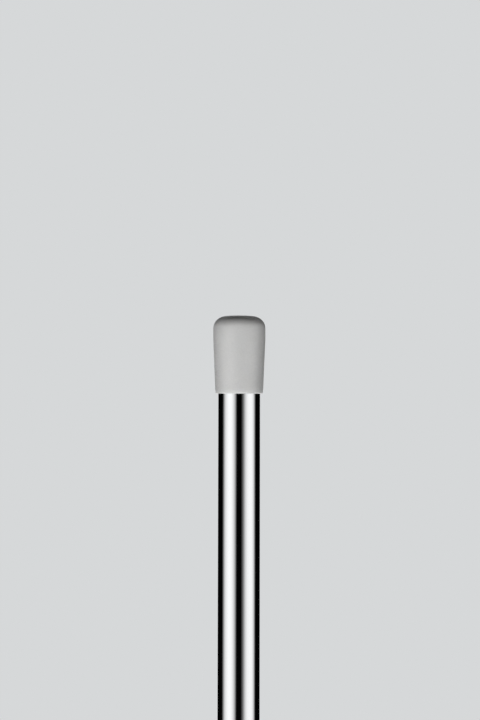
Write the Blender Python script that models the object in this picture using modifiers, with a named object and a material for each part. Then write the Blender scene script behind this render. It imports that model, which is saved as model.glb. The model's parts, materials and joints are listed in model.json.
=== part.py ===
"""A telescopic white cane, standing with its tip up, fully pulled out and locked.

Four tubes nest in each other. Each of the three inner tubes carries a twist lock at its
lower end: a plug pressed into the tube, a stud screwed into the plug, and a cone nut on
the stud. Twisting the tube draws the nut's cone into a split expander sleeve, which
grips the bore of the tube outside it. A collar on each open mouth guides the tube that
slides through it.

Metres, +Z up. The origin is on the cane's axis, at the middle of the grip.
"""

import math
from typing import NamedTuple

import bmesh
import bpy

OBJECT_NAME = "white_cane"

# Clearances
SEAT = 0.0001  # between two faces that rest on each other
FIT = 0.0001  # radial, around a piece that is pressed or screwed in
RUN = 0.00012  # radial, around a piece that turns or slides
EDGE = 0.0004  # chamfer on a turned edge

# Tubes
TUBE_NAMES = ("handle_tube", "second_tube", "third_tube", "tip_tube")
TIP_TUBE_RADIUS = 0.00635
TIP_TUBE_LENGTH = 0.280
TUBE_WALL = 0.0006
NEST_GAP = 0.0003  # radial, between one tube and the next
OVERLAP = 0.045  # of each tube in the one outside it, when pulled out
STACK_GAP = 0.0003  # left between two collars when pushed together
ROOM_BELOW = 0.002  # left under a lock when pushed together

# Collar on a tube's mouth
COLLAR_WALL = 0.0011
COLLAR_SKIRT = 0.012
COLLAR_LIP = 0.0025

# Twist lock
PLUG_DEPTH = 0.014
PLUG_FLANGE = 0.0015
STUD_RADIUS = 0.0025
STUD_IN_PLUG = 0.010
STUD_END = 0.001
CONE_LENGTH = 0.004
CONE_RISE = 0.0013  # radius gained over the cone's length
CONE_END_GAP = 0.0002
EXPANDER_LENGTH = 0.016
EXPANDER_SLOT = 0.0012
EXPANDER_SLOT_LENGTH = 0.0115
NUT_FLANGE = 0.004
NUT_INSET = 0.0004
NUT_RIB_HEIGHT = 0.0025
NUT_RIB_GAP = 0.00015
NUT_TRAVEL = 0.0008  # one turn of the stud's thread
STOP_GAP = 0.0003
STOP_NUT_ACROSS_FLATS = 0.008
STOP_NUT_HEIGHT = 0.0027

# Slip-on tip
CAP_HEIGHT = 0.0235
CAP_RADIUS = 0.0079
CAP_CORNER = 0.0036
CAP_CROWN = 0.0002
CAP_FLAT_RADIUS = 0.0025
CAP_WIDEST_END = 0.0163  # height above the mouth where the straight taper begins
CAP_TAPER_WALL = 0.0009  # of the taper's lower end, over the tube
CAP_RIM_HEIGHT = 0.001
CAP_RIM_WALL = 0.0007
CAP_BORE_DEPTH = 0.019
INSERT_FLANGE = 0.001
INSERT_DEPTH = 0.008

# Grip
GRIP_LENGTH = 0.220
GRIP_WALL_AT_BUTT = 0.0037
GRIP_WALL_AT_TOP = 0.0021
GRIP_END_ROUND = 0.001
GRIP_GROOVES = 8
GRIP_GROOVE_PITCH = 0.020
GRIP_GROOVE_WIDTH = 0.003
GRIP_GROOVE_DEPTH = 0.0007
GRIP_FLAT_WALL = 0.0013
RING_LENGTH = 0.008
RING_WALL = 0.0019
RING_EDGE = 0.0009

# Butt cap and strap eye
BUTT_FLANGE = 0.005
BUTT_OVERHANG = 0.0002  # of the flange past the grip's end
BUTT_ROUND = 0.002
BUTT_SPIGOT = 0.016
EYE_SHANK_RADIUS = 0.002
EYE_SHOULDER_RADIUS = 0.0035
EYE_SHOULDER = 0.0012
EYE_RADIUS = 0.0045  # of the opening
EYE_WIRE_RADIUS = 0.0013
EYE_NECK_RADIUS = 0.0016
WASHER_RADIUS = 0.0045
WASHER_THICKNESS = 0.0008
EYE_NUT_ACROSS_FLATS = 0.007
EYE_NUT_HEIGHT = 0.0032
EYE_SHANK_END = 0.001

# Facets
SHAFT_STEPS = 32
LOCK_STEPS = 24
CORNER_STEPS = 5
EYE_STEPS = 28
WIRE_STEPS = 10
SMOOTH_ANGLE = math.radians(35)
MERGE = 0.00001

# What follows from the sizes above
TUBE_IN_CAP = CAP_BORE_DEPTH - INSERT_FLANGE - 2 * SEAT
BUTT_STACK = (
    BUTT_SPIGOT + WASHER_THICKNESS + EYE_NUT_HEIGHT + EYE_SHANK_END + 2 * SEAT
)
LOCK_LENGTH = (
    PLUG_FLANGE
    + EXPANDER_LENGTH
    + NUT_FLANGE
    + NUT_TRAVEL
    + STOP_GAP
    + STOP_NUT_HEIGHT
    + STUD_END
    + 3 * SEAT
)


class Tube(NamedTuple):
    name: str
    radius: float
    bottom: float
    length: float

    @property
    def bore(self):
        return self.radius - TUBE_WALL

    @property
    def top(self):
        return self.bottom + self.length


class Lock(NamedTuple):
    """Heights of a twist lock's pieces, each the top of what it names."""

    tube_end: float
    flange: float
    expander: float
    nut: float
    stop: float
    stud_end: float


class Material(NamedTuple):
    name: str
    colour: tuple
    roughness: float
    metallic: float


WHITE_PAINT = Material("white paint on aluminium", (0.86, 0.86, 0.84), 0.35, 0.0)
POLISHED_TUBE = Material("polished aluminium", (0.91, 0.92, 0.92), 0.08, 1.0)
PALE_NYLON = Material("natural white nylon", (0.62, 0.62, 0.60), 0.35, 0.0)
BLACK_RUBBER = Material("black moulded rubber", (0.025, 0.025, 0.027), 0.75, 0.0)
BLACK_NYLON = Material("black moulded nylon", (0.04, 0.04, 0.042), 0.45, 0.0)
GREY_NYLON = Material("grey moulded nylon", (0.35, 0.35, 0.36), 0.5, 0.0)
ZINC_STEEL = Material("zinc plated steel", (0.62, 0.63, 0.65), 0.35, 1.0)
TURNED_BRASS = Material("turned brass", (0.75, 0.58, 0.28), 0.3, 1.0)


# Scene helpers


def clear_scene():
    for old in list(bpy.data.objects):
        bpy.data.objects.remove(old, do_unlink=True)


def new_collection(name):
    collection = bpy.data.collections.new(name)
    bpy.context.scene.collection.children.link(collection)
    return collection


def blender_material(material):
    found = bpy.data.materials.get(material.name)
    if found:
        return found
    made = bpy.data.materials.new(material.name)
    made.use_nodes = True
    shader = made.node_tree.nodes["Principled BSDF"]
    shader.inputs["Base Color"].default_value = (*material.colour, 1.0)
    shader.inputs["Roughness"].default_value = material.roughness
    shader.inputs["Metallic"].default_value = material.metallic
    return made


def new_body(name, z, parent=None):
    """An empty on the cane's axis, which the pieces that move together hang from."""
    empty = bpy.data.objects.new(name, None)
    empty.empty_display_size = 0.01
    empty.parent = parent
    empty.location.z = z - (world_height(parent) if parent else 0.0)
    bpy.data.collections[OBJECT_NAME].objects.link(empty)
    return empty


def world_height(obj):
    above = world_height(obj.parent) if obj.parent else 0.0
    return obj.location.z + above


def new_object(name, mesh, body, z):
    """A mesh object with its origin on the cane's axis at height z."""
    obj = bpy.data.objects.new(name, mesh)
    bpy.data.collections[OBJECT_NAME].objects.link(obj)
    obj.parent = body
    obj.location.z = z - world_height(body)
    return obj


def set_look(obj, material):
    obj.data.materials.append(blender_material(material))
    obj.data.shade_smooth()
    obj.data.set_sharp_from_angle(angle=SMOOTH_ANGLE)


def bake(obj):
    """Replaces an object's mesh with what its modifiers make of it."""
    bpy.context.view_layer.update()
    graph = bpy.context.evaluated_depsgraph_get()
    obj.data = bpy.data.meshes.new_from_object(obj.evaluated_get(graph))
    obj.modifiers.clear()


# Shape helpers


def turned(name, profile, body, z, material, steps=SHAFT_STEPS, closed=True):
    """A profile of (radius, height) points, swept round the cane's axis.

    It runs down the outer side first. A closed profile is a ring, and an open one begins
    and ends on the axis.
    """
    mesh = bpy.data.meshes.new(name)
    points = [(radius, 0.0, height) for radius, height in profile]
    edges = [(i, i + 1) for i in range(len(points) - 1)]
    if closed:
        edges.append((len(points) - 1, 0))
    mesh.from_pydata(points, edges, [])
    obj = new_object(name, mesh, body, z)
    screw = obj.modifiers.new("Turn", "SCREW")
    screw.steps = screw.render_steps = steps
    screw.use_merge_vertices = True
    screw.merge_threshold = MERGE
    bake(obj)
    set_look(obj, material)
    return obj


def quarter_round(centre_radius, centre_height, radius, start, end):
    """Points on an arc, from one angle to another in degrees above the horizontal."""
    angles = [
        math.radians(start + (end - start) * i / CORNER_STEPS)
        for i in range(CORNER_STEPS + 1)
    ]
    return [
        (centre_radius + radius * math.cos(a), centre_height + radius * math.sin(a))
        for a in angles
    ]


def box_mesh(name, size):
    mesh = bpy.data.meshes.new(name)
    cube = bmesh.new()
    bmesh.ops.create_cube(cube, size=1.0)
    bmesh.ops.scale(cube, vec=size, verts=cube.verts)
    cube.to_mesh(mesh)
    cube.free()
    return mesh


def rod_mesh(name, radius, length, sides):
    mesh = bpy.data.meshes.new(name)
    rod = bmesh.new()
    bmesh.ops.create_cone(
        rod,
        cap_ends=True,
        segments=sides,
        radius1=radius,
        radius2=radius,
        depth=length,
    )
    rod.to_mesh(mesh)
    rod.free()
    return mesh


def cutter(name, mesh, location):
    obj = bpy.data.objects.new(name, mesh)
    obj.location = location
    obj.hide_render = True
    obj.display_type = "WIRE"
    bpy.data.collections["cutters"].objects.link(obj)
    return obj


def combine(obj, tool, operation):
    boolean = obj.modifiers.new(operation.title(), "BOOLEAN")
    boolean.operation = operation
    boolean.object = tool
    boolean.solver = "EXACT"
    bake(obj)
    obj.data.shade_smooth()
    obj.data.set_sharp_from_angle(angle=SMOOTH_ANGLE)


def hex_nut(name, across_flats, height, hole_radius, body, top, material):
    mesh = rod_mesh(name, across_flats / math.sqrt(3), height, 6)
    middle = top - height / 2
    nut = new_object(name, mesh, body, middle)
    set_look(nut, material)
    hole = rod_mesh(name + "_hole", hole_radius, 2 * height, LOCK_STEPS)
    combine(nut, cutter(name + "_hole", hole, (0, 0, middle)), "DIFFERENCE")


# Layout


def tube_lengths():
    """From the tip down, each tube is long enough to swallow the next one and its lock."""
    swallowed = LOCK_LENGTH + ROOM_BELOW - COLLAR_LIP - STACK_GAP
    third = TIP_TUBE_LENGTH - TUBE_IN_CAP + PLUG_DEPTH + swallowed
    second = third - COLLAR_SKIRT + PLUG_DEPTH + swallowed
    handle = second - COLLAR_SKIRT + BUTT_STACK + swallowed
    return handle, second, third, TIP_TUBE_LENGTH


def lay_out_tubes():
    step = TUBE_WALL + NEST_GAP
    bottom = -GRIP_LENGTH / 2
    tubes = []
    for i, (name, length) in enumerate(zip(TUBE_NAMES, tube_lengths())):
        radius = TIP_TUBE_RADIUS + step * (len(TUBE_NAMES) - 1 - i)
        tubes.append(Tube(name, radius, bottom, length))
        bottom += length - OVERLAP
    return tubes


def lay_out_lock(tube):
    flange = tube.bottom - SEAT
    expander = flange - PLUG_FLANGE - SEAT
    nut = expander - EXPANDER_LENGTH - SEAT
    stop = nut - NUT_FLANGE - NUT_TRAVEL - STOP_GAP
    return Lock(
        tube.bottom, flange, expander, nut, stop, stop - STOP_NUT_HEIGHT - STUD_END
    )


# Shaft


def make_tube(tube, body, material):
    profile = [
        (tube.radius, tube.length),
        (tube.radius, 0.0),
        (tube.bore, 0.0),
        (tube.bore, tube.length),
    ]
    turned(tube.name, profile, body, tube.bottom, material)


def make_collar(name, tube, inner, body):
    """A guide ring pressed over a tube's mouth, with a lip that the inner tube runs in."""
    outside = tube.radius + COLLAR_WALL
    over_tube = tube.radius + FIT
    guide = inner.radius + RUN
    top = SEAT + COLLAR_LIP
    profile = [
        (guide + EDGE, top),
        (outside - 2 * EDGE, top),
        (outside, top - 2 * EDGE),
        (outside, EDGE - COLLAR_SKIRT),
        (outside - EDGE, -COLLAR_SKIRT),
        (over_tube, -COLLAR_SKIRT),
        (over_tube, SEAT),
        (guide, SEAT),
        (guide, top - EDGE),
    ]
    turned(name, profile, body, tube.top, BLACK_NYLON)


# Twist lock


def cone_radii(outer):
    """Radii at the base and at the narrow end of the cones that spread the expander.

    They lie half way between the stud and the bore that the expander grips.
    """
    middle = (STUD_RADIUS + outer.bore) / 2
    return middle + CONE_RISE / 2, middle - CONE_RISE / 2


def make_plug(name, tube, outer, lock, body):
    """Pressed into the tube's lower end, with a cone below and a blind hole for the stud."""
    spigot = tube.bore - FIT
    hole = STUD_RADIUS + FIT
    base, narrow = cone_radii(outer)
    under_flange = -SEAT - PLUG_FLANGE
    profile = [
        (0.0, PLUG_DEPTH),
        (spigot - EDGE, PLUG_DEPTH),
        (spigot, PLUG_DEPTH - EDGE),
        (spigot, -SEAT),
        (tube.radius, -SEAT),
        (tube.radius, under_flange),
        (base, under_flange),
        (narrow, under_flange - CONE_LENGTH),
        (hole, under_flange - CONE_LENGTH),
        (hole, STUD_IN_PLUG),
        (0.0, STUD_IN_PLUG),
    ]
    turned(name, profile, body, lock.tube_end, GREY_NYLON, LOCK_STEPS, closed=False)


def make_stud(name, lock, body):
    length = lock.tube_end + STUD_IN_PLUG - SEAT - lock.stud_end
    profile = [
        (0.0, length),
        (STUD_RADIUS - EDGE, length),
        (STUD_RADIUS, length - EDGE),
        (STUD_RADIUS, EDGE),
        (STUD_RADIUS - EDGE, 0.0),
        (0.0, 0.0),
    ]
    turned(name, profile, body, lock.stud_end, ZINC_STEEL, LOCK_STEPS, closed=False)


def make_expander(name, outer, lock, body):
    """A sleeve with a cone recess at each end and four fingers, cut by crossed slots."""
    outside = outer.bore - RUN
    bore = STUD_RADIUS + RUN
    base, narrow = (radius + RUN for radius in cone_radii(outer))
    recess = CONE_LENGTH + CONE_END_GAP
    profile = [
        (outside - EDGE, 0.0),
        (outside, -EDGE),
        (outside, EDGE - EXPANDER_LENGTH),
        (outside - EDGE, -EXPANDER_LENGTH),
        (base, -EXPANDER_LENGTH),
        (narrow, recess - EXPANDER_LENGTH),
        (bore, recess - EXPANDER_LENGTH),
        (bore, -recess),
        (narrow, -recess),
        (base, 0.0),
    ]
    expander = turned(name, profile, body, lock.expander, BLACK_NYLON, LOCK_STEPS)
    middle = lock.expander - EXPANDER_LENGTH
    across = 4 * outer.bore
    for axis, size in (
        ("x", (across, EXPANDER_SLOT, 2 * EXPANDER_SLOT_LENGTH)),
        ("y", (EXPANDER_SLOT, across, 2 * EXPANDER_SLOT_LENGTH)),
    ):
        slot_name = f"{name}_slot_{axis}"
        slot = cutter(slot_name, box_mesh(slot_name, size), (0, 0, middle))
        combine(expander, slot, "DIFFERENCE")


def make_cone_nut(name, outer, lock, body):
    """A nut whose cone spreads the expander, with a rib that runs in the expander's slot."""
    outside = outer.bore - NUT_INSET
    hole = STUD_RADIUS + RUN
    base, narrow = cone_radii(outer)
    profile = [
        (narrow, CONE_LENGTH),
        (base, 0.0),
        (outside - EDGE, 0.0),
        (outside, -EDGE),
        (outside, EDGE - NUT_FLANGE),
        (outside - EDGE, -NUT_FLANGE),
        (hole, -NUT_FLANGE),
        (hole, CONE_LENGTH),
    ]
    nut = turned(name, profile, body, lock.nut, TURNED_BRASS, LOCK_STEPS)
    rib_width = EXPANDER_SLOT - 2 * NUT_RIB_GAP
    rib_size = (2 * (outside - EDGE), rib_width, 2 * NUT_RIB_HEIGHT)
    rib = cutter(name + "_rib", box_mesh(name + "_rib", rib_size), (0, 0, lock.nut))
    combine(nut, rib, "UNION")
    length = 4 * (NUT_FLANGE + CONE_LENGTH)
    hole_mesh = rod_mesh(name + "_hole", hole, length, LOCK_STEPS)
    combine(nut, cutter(name + "_hole", hole_mesh, (0, 0, lock.nut)), "DIFFERENCE")


def make_lock(number, tube, outer, outer_body):
    """The twist lock at a tube's lower end. Returns the body that carries the tube."""
    lock = lay_out_lock(tube)
    name = f"lock_{number}"
    gripping = new_body(f"{name}_gripping", lock.expander, outer_body)
    turning = new_body(f"{name}_turning", tube.bottom, gripping)
    drawn = new_body(f"{name}_drawn", lock.nut, gripping)
    make_plug(f"{name}_plug", tube, outer, lock, turning)
    make_stud(f"{name}_stud", lock, turning)
    make_expander(f"{name}_expander", outer, lock, gripping)
    make_cone_nut(f"{name}_cone_nut", outer, lock, drawn)
    hex_nut(
        f"{name}_stop_nut",
        STOP_NUT_ACROSS_FLATS,
        STOP_NUT_HEIGHT,
        STUD_RADIUS + FIT,
        turning,
        lock.stop,
        ZINC_STEEL,
    )
    return turning


# Tip


def make_tip_cap(tube, body):
    """A slip-on tip: widest near its closed end, and narrowing to a thin rim at its mouth."""
    mouth = tube.top - TUBE_IN_CAP
    bore = tube.radius + FIT
    corner_height = CAP_HEIGHT - CAP_CROWN - CAP_CORNER
    profile = [(0.0, CAP_HEIGHT), (CAP_FLAT_RADIUS, CAP_HEIGHT)]
    profile += quarter_round(
        CAP_RADIUS - CAP_CORNER, corner_height, CAP_CORNER, 90, 0
    )
    profile += [
        (CAP_RADIUS, CAP_WIDEST_END),
        (tube.radius + CAP_TAPER_WALL, CAP_RIM_HEIGHT),
        (tube.radius + CAP_RIM_WALL, 0.0),
        (bore, 0.0),
        (bore, CAP_BORE_DEPTH),
        (0.0, CAP_BORE_DEPTH),
    ]
    turned("tip_cap", profile, body, mouth, PALE_NYLON, closed=False)


def make_tip_insert(tube, body):
    """A plug that closes the tube, so that its edge doesn't cut through the tip."""
    spigot = tube.bore - FIT
    profile = [
        (0.0, SEAT + INSERT_FLANGE),
        (tube.radius, SEAT + INSERT_FLANGE),
        (tube.radius, SEAT),
        (spigot, SEAT),
        (spigot, EDGE - INSERT_DEPTH),
        (spigot - EDGE, -INSERT_DEPTH),
        (0.0, -INSERT_DEPTH),
    ]
    turned("tip_insert", profile, body, tube.top, GREY_NYLON, LOCK_STEPS, closed=False)


# Handle


def grip_radius(tube, height):
    """Outside of the grip, which tapers from the butt up."""
    share = height / GRIP_LENGTH
    wall = GRIP_WALL_AT_BUTT + (GRIP_WALL_AT_TOP - GRIP_WALL_AT_BUTT) * share
    return tube.radius + FIT + wall


def grip_groove(tube, height):
    half = GRIP_GROOVE_WIDTH / 2
    return [
        (grip_radius(tube, height + half), height + half),
        (grip_radius(tube, height) - GRIP_GROOVE_DEPTH, height),
        (grip_radius(tube, height - half), height - half),
    ]


def make_grip(tube, body):
    """A sleeve with shallow grooves, and a flat that tells the hand which way it faces."""
    bore = tube.radius + FIT
    top = grip_radius(tube, GRIP_LENGTH)
    profile = [
        (top - GRIP_END_ROUND, GRIP_LENGTH),
        (top, GRIP_LENGTH - GRIP_END_ROUND),
    ]
    for i in range(GRIP_GROOVES):
        from_middle = (GRIP_GROOVES - 1) / 2 - i
        profile += grip_groove(tube, GRIP_LENGTH / 2 + from_middle * GRIP_GROOVE_PITCH)
    profile += [(grip_radius(tube, 0.0), 0.0), (bore, 0.0), (bore, GRIP_LENGTH)]
    grip = turned("grip_sleeve", profile, body, tube.bottom, BLACK_RUBBER)
    width = 2 * grip_radius(tube, 0.0)
    flat = box_mesh("grip_flat", (width, width, 2 * GRIP_LENGTH))
    outwards = bore + GRIP_FLAT_WALL + width / 2
    combine(grip, cutter("grip_flat", flat, (outwards, 0, 0)), "DIFFERENCE")


def make_grip_ring(tube, body):
    """A trim ring that covers the grip's upper end."""
    bore = tube.radius + FIT
    outside = bore + RING_WALL
    profile = [
        (outside - RING_EDGE, RING_LENGTH),
        (outside, RING_LENGTH - RING_EDGE),
        (outside, EDGE),
        (outside - EDGE, 0.0),
        (bore, 0.0),
        (bore, RING_LENGTH),
    ]
    turned("grip_ring", profile, body, tube.bottom + GRIP_LENGTH + SEAT, BLACK_NYLON)


def make_butt_cap(tube, body):
    """Closes the lower end: a flange under the grip and a spigot in the tube."""
    flange = grip_radius(tube, 0.0) + BUTT_OVERHANG
    spigot = tube.bore - FIT
    hole = EYE_SHANK_RADIUS + FIT
    underside = -SEAT - BUTT_FLANGE
    profile = [
        (spigot - EDGE, BUTT_SPIGOT),
        (spigot, BUTT_SPIGOT - EDGE),
        (spigot, -SEAT),
        (flange - EDGE, -SEAT),
        (flange, -SEAT - EDGE),
    ]
    profile += quarter_round(
        flange - BUTT_ROUND, underside + BUTT_ROUND, BUTT_ROUND, 0, -90
    )
    profile += [(hole, underside), (hole, BUTT_SPIGOT)]
    turned("butt_cap", profile, body, tube.bottom, BLACK_NYLON)


def make_strap_eye(tube, body):
    """A ring for the wrist strap, on a shank that passes up through the butt cap."""
    shoulder_top = tube.bottom - 2 * SEAT - BUTT_FLANGE
    shank_top = tube.bottom + BUTT_STACK - shoulder_top
    wire_middle = -EYE_SHOULDER - EYE_WIRE_RADIUS
    profile = [
        (0.0, shank_top),
        (EYE_SHANK_RADIUS - EDGE, shank_top),
        (EYE_SHANK_RADIUS, shank_top - EDGE),
        (EYE_SHANK_RADIUS, 0.0),
        (EYE_SHOULDER_RADIUS, 0.0),
        (EYE_SHOULDER_RADIUS, -EYE_SHOULDER),
        (EYE_NECK_RADIUS, -EYE_SHOULDER),
        (EYE_NECK_RADIUS, wire_middle),
        (0.0, wire_middle),
    ]
    eye = turned(
        "strap_eye", profile, body, shoulder_top, ZINC_STEEL, LOCK_STEPS, closed=False
    )
    ring_radius = EYE_RADIUS + EYE_WIRE_RADIUS
    bpy.ops.mesh.primitive_torus_add(
        major_radius=ring_radius,
        minor_radius=EYE_WIRE_RADIUS,
        major_segments=EYE_STEPS,
        minor_segments=WIRE_STEPS,
        location=(0, 0, shoulder_top + wire_middle - ring_radius),
        rotation=(math.pi / 2, 0, 0),
    )
    ring = bpy.context.object
    middle = ring.matrix_world.copy()
    mesh = ring.data.copy()
    bpy.data.objects.remove(ring, do_unlink=True)
    tool = cutter("strap_eye_ring", mesh, (0, 0, 0))
    tool.matrix_world = middle
    combine(eye, tool, "UNION")


def make_eye_fasteners(tube, body):
    washer_bottom = tube.bottom + BUTT_SPIGOT + SEAT
    hole = EYE_SHANK_RADIUS + FIT
    profile = [
        (WASHER_RADIUS, WASHER_THICKNESS),
        (WASHER_RADIUS, 0.0),
        (hole, 0.0),
        (hole, WASHER_THICKNESS),
    ]
    turned("strap_eye_washer", profile, body, washer_bottom, ZINC_STEEL, LOCK_STEPS)
    nut_top = washer_bottom + WASHER_THICKNESS + SEAT + EYE_NUT_HEIGHT
    hex_nut(
        "strap_eye_nut",
        EYE_NUT_ACROSS_FLATS,
        EYE_NUT_HEIGHT,
        hole,
        body,
        nut_top,
        ZINC_STEEL,
    )


def main():
    clear_scene()
    new_collection(OBJECT_NAME)
    new_collection("cutters")
    tubes = lay_out_tubes()
    handle_tube, tip_tube = tubes[0], tubes[-1]
    body = new_body("handle", 0.0)
    make_tube(handle_tube, body, WHITE_PAINT)
    make_grip(handle_tube, body)
    make_grip_ring(handle_tube, body)
    make_butt_cap(handle_tube, body)
    make_strap_eye(handle_tube, body)
    make_eye_fasteners(handle_tube, body)
    for number, (outer, tube) in enumerate(zip(tubes, tubes[1:]), start=1):
        make_collar(f"mouth_collar_{number}", outer, tube, body)
        body = make_lock(number, tube, outer, body)
        make_tube(tube, body, POLISHED_TUBE if tube is tip_tube else WHITE_PAINT)
    make_tip_insert(tip_tube, body)
    make_tip_cap(tip_tube, body)


main()
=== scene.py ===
"""A telescopic white cane with twist locks, a slip-on nylon tip and a moulded rubber grip.

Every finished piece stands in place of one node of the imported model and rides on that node's body. The stage
is a pale floor with tall soft boxes and dark flags round it, which give the polished tube its bright and dark
bands.
"""

import json
import math

import bmesh
import bpy
from bpy.props import FloatProperty, FloatVectorProperty, IntProperty, PointerProperty
from mathutils import Matrix, Vector, noise


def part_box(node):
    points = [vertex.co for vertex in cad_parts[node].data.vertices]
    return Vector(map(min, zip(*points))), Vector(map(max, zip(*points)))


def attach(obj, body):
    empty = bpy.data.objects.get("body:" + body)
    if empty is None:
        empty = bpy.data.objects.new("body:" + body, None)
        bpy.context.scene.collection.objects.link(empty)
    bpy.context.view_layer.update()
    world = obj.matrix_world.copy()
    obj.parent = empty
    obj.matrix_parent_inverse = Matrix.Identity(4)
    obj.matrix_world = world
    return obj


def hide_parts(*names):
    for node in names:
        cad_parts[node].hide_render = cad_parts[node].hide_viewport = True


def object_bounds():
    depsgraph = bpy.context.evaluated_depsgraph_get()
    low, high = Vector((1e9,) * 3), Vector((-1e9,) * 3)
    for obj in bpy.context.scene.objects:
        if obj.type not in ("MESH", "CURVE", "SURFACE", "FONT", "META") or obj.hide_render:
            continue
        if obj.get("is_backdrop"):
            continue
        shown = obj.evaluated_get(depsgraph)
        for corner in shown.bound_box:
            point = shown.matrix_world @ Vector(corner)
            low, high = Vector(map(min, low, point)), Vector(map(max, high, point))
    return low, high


bl_info = {
    "name": "Telescopic White Cane",
    "version": (1, 0, 0),
    "blender": (4, 5, 0),
    "location": "3D View > Sidebar > Cane",
    "description": "Builds the finished pieces of a telescopic white cane and sets its stage",
    "category": "Object",
}

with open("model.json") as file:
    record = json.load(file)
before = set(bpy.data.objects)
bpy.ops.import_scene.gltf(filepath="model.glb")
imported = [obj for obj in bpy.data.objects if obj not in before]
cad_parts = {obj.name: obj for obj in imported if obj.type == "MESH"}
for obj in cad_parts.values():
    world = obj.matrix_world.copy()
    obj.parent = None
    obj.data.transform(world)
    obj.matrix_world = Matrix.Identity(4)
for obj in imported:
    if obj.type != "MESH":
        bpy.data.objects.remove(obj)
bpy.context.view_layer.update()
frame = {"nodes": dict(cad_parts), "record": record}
BODY_OF = {
    node: body
    for body, nodes in frame["record"]["behaviour"]["bodies"].items()
    for node in nodes
}

MM = 0.001
ARC_STEP = 9  # degrees of arc to a facet of a rounded corner
SHARP = math.radians(34)
TUBE_WALL = 0.6 * MM
TUBE_EDGE = 0.12 * MM
FLOOR_RADIUS = 3.4  # well past the light sheets
# Facets round each kind of piece
TIP_STEPS = 192
COLLAR_STEPS = 288
GRIP_STEPS = 144
EYE_STEPS = 96
# Finished tubes and the CAD nodes they stand for, from the handle to the tip
SHAFT = {
    "painted_handle_tube": "handle_tube",
    "painted_second_tube": "second_tube",
    "painted_third_tube": "third_tube",
    "polished_tip_tube": "tip_tube",
}


# Shapes


def outside(node):
    """Radius, lowest height and highest height of a turned CAD node."""
    low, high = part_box(node)
    return high.y, low.z, high.z


def rounded(corners, closed):
    """Points along an outline of (radius, height, fillet) corners, with an arc at each fillet."""
    points = []
    for i, (radius, height, fillet) in enumerate(corners):
        here = Vector((radius, height))
        at_end = not closed and i in (0, len(corners) - 1)
        if at_end or not fillet:
            points.append(here)
            continue
        back = (Vector(corners[i - 1][:2]) - here).normalized()
        ahead = (Vector(corners[(i + 1) % len(corners)][:2]) - here).normalized()
        half = back.angle(ahead) / 2
        centre = here + (back + ahead).normalized() * fillet / math.sin(half)
        start = here + back * fillet / math.tan(half) - centre
        end = here + ahead * fillet / math.tan(half) - centre
        sweep = math.atan2(start.x * end.y - start.y * end.x, start.dot(end))
        steps = max(2, round(abs(math.degrees(sweep)) / ARC_STEP))
        for k in range(steps + 1):
            points.append(centre + Matrix.Rotation(sweep * k / steps, 2) @ start)
    return points


def divided(points, spacing):
    """The same outline with extra points, so that no two are further apart than the spacing."""
    result = [points[0]]
    for a, b in zip(points, points[1:]):
        count = max(1, math.ceil((b - a).length / spacing))
        result += [a.lerp(b, k / count) for k in range(1, count + 1)]
    return result


def turn(name, points, steps, closed=True, reshape=None):
    """A mesh turned round Z from (radius, height) points.

    Reshape, where there is one, gives a point's new radius from its angle, radius and height.
    """
    shape = bmesh.new()
    rings = []
    for radius, height in points:
        if radius < 1e-9:
            rings.append([shape.verts.new((0, 0, height))] * steps)
            continue
        ring = []
        for k in range(steps):
            angle = 2 * math.pi * k / steps
            reach = reshape(angle, radius, height) if reshape else radius
            ring.append(shape.verts.new((reach * math.cos(angle), reach * math.sin(angle), height)))
        rings.append(ring)
    pairs = list(zip(rings, rings[1:]))
    if closed:
        pairs.append((rings[-1], rings[0]))
    for low, high in pairs:
        for k in range(steps):
            after = (k + 1) % steps
            corners = [low[k], low[after], high[after], high[k]]
            shape.faces.new(dict.fromkeys(corners))
    bmesh.ops.recalc_face_normals(shape, faces=shape.faces)
    mesh = bpy.data.meshes.new(name)
    shape.to_mesh(mesh)
    shape.free()
    smooth(mesh)
    return mesh


def smooth(mesh):
    """Shades a mesh smooth, except over its sharp edges."""
    mesh.shade_smooth()
    mesh.set_sharp_from_angle(angle=SHARP)


def show(name, mesh, finish, node):
    """Shows a finished mesh in place of its CAD node, on that node's body."""
    mesh.materials.clear()
    mesh.materials.append(finish)
    piece = bpy.data.objects.new(name, mesh)
    bpy.context.scene.collection.objects.link(piece)
    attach(piece, BODY_OF[node])
    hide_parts(node)
    return piece


# Finishes


def linear(hex_colour):
    """The linear colour of an sRGB hex value."""
    channels = [int(hex_colour[i : i + 2], 16) / 255 for i in (1, 3, 5)]
    return [c / 12.92 if c <= 0.04045 else ((c + 0.055) / 1.055) ** 2.4 for c in channels] + [1.0]


def shaded(colour, share):
    """A colour made lighter or darker by a share."""
    return [min(1.0, channel * share) for channel in colour[:3]] + [1.0]


def add_node(tree, kind, values=None, links=None, **settings):
    """Adds a shader node: values go in its sockets, links lead into them, and settings are its own."""
    node = tree.nodes.new("ShaderNode" + kind)
    for name, setting in settings.items():
        setattr(node, name, setting)
    for socket, value in (values or {}).items():
        node.inputs[socket].default_value = value
    for socket, source in (links or {}).items():
        tree.links.new(source, node.inputs[socket])
    return node


def new_finish(name, **shader):
    """A material with its shader's own values. Also gives the piece's own coordinates, in metres."""
    finish = bpy.data.materials.new(name)
    finish.use_nodes = True
    tree = finish.node_tree
    tree.nodes.clear()
    values = {socket.replace("_", " "): value for socket, value in shader.items()}
    surface = add_node(tree, "BsdfPrincipled", values)
    add_node(tree, "OutputMaterial", links={"Surface": surface.outputs["BSDF"]})
    place = add_node(tree, "TexCoord").outputs["Object"]
    return finish, tree, surface, place


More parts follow.
